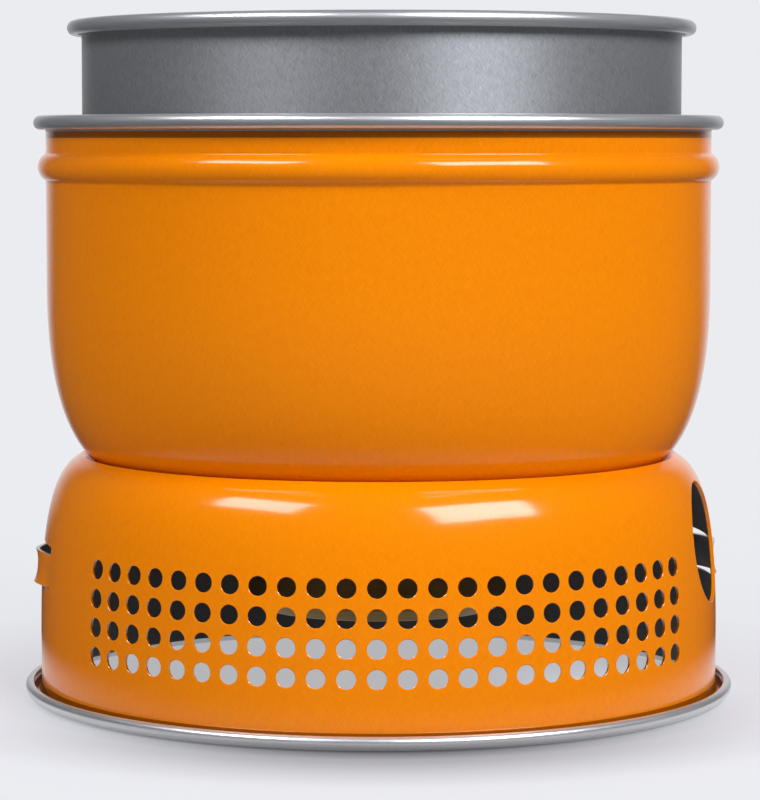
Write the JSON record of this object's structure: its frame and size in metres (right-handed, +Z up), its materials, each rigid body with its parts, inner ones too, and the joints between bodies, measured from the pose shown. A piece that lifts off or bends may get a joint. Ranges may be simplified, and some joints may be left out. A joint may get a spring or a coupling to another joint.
{
  "type": "storm cooker",
  "caption": "Spirit-burning camping cooker: vented lower windshield, upper windshield with folding pan supports, saucepan, and a burner with a simmer ring.",
  "frame": {"origin": "on the floor, on the cooker's axis, under the lower windshield's rolled rim", "axes": "+Z up along the cooker's axis, -Y towards the middle of the vent grid, +X to the right as seen from the vent grid"},
  "size_m": [0.1804, 0.1798, 0.1698],
  "materials": {
    "lower_enamel": "satin orange coating on aluminium, bare on the rolled rim",
    "upper_enamel": "satin orange coating on aluminium, bare on the rolled rim",
    "steel": "stainless",
    "pan_aluminium": "fine brushed",
    "burner_brass": "satin",
    "wick_cotton": "felted cotton"
  },
  "bodies": {
    "lower": {"lower_windshield": "lower_enamel"},
    "upper": {"upper_windshield": "upper_enamel", "support_ring": "steel"},
    "pan": {"saucepan": "pan_aluminium"},
    "support_1": {"pan_support_1": "steel"},
    "support_2": {"pan_support_2": "steel"},
    "support_3": {"pan_support_3": "steel"},
    "burner": {"burner_body": "burner_brass", "burner_jet_ring": "burner_brass", "burner_wick": "wick_cotton"},
    "simmer": {"simmer_ring": "burner_brass", "simmer_rivet": "steel"},
    "cover": {"simmer_cover": "burner_brass"}
  },
  "joints": [
    {"name": "upper_windshield_lift", "type": "slide", "parent": "lower", "child": "upper", "axis": [0, 0, 1], "range_m": [0, 0.06]},
    {"name": "saucepan_lift", "type": "slide", "parent": "upper", "child": "pan", "axis": [0, 0, 1], "range_m": [0, 0.12]},
    {"name": "support_1_fold", "type": "hinge", "parent": "upper", "child": "support_1", "pos_m": [0.07061, -0.04077, 0.1334], "axis": [0.5, 0.866, 0], "range_deg": [0, 180]},
    {"name": "support_2_fold", "type": "hinge", "parent": "upper", "child": "support_2", "pos_m": [0, 0.08154, 0.1334], "axis": [-1, 0, 0], "range_deg": [0, 180]},
    {"name": "support_3_fold", "type": "hinge", "parent": "upper", "child": "support_3", "pos_m": [-0.07061, -0.04077, 0.1334], "axis": [0.5, -0.866, 0], "range_deg": [0, 180]},
    {"name": "burner_lift", "type": "slide", "parent": "lower", "child": "burner", "axis": [0, 0, 1], "range_m": [0, 0.015]},
    {"name": "simmer_ring_lift", "type": "slide", "parent": "burner", "child": "simmer", "axis": [0, 0, 1], "range_m": [0, 0.008]},
    {"name": "simmer_cover_swing", "type": "hinge", "parent": "simmer", "child": "cover", "pos_m": [0.0166, 0, 0.0685], "axis": [0, 0, 1], "range_deg": [0, 100]}
  ],
  "couplings": [
    {"joint": "support_1_fold", "follows": "saucepan_lift", "rad_per_m": 26.17},
    {"joint": "support_2_fold", "follows": "saucepan_lift", "rad_per_m": 26.17},
    {"joint": "support_3_fold", "follows": "saucepan_lift", "rad_per_m": 26.17}
  ]
}
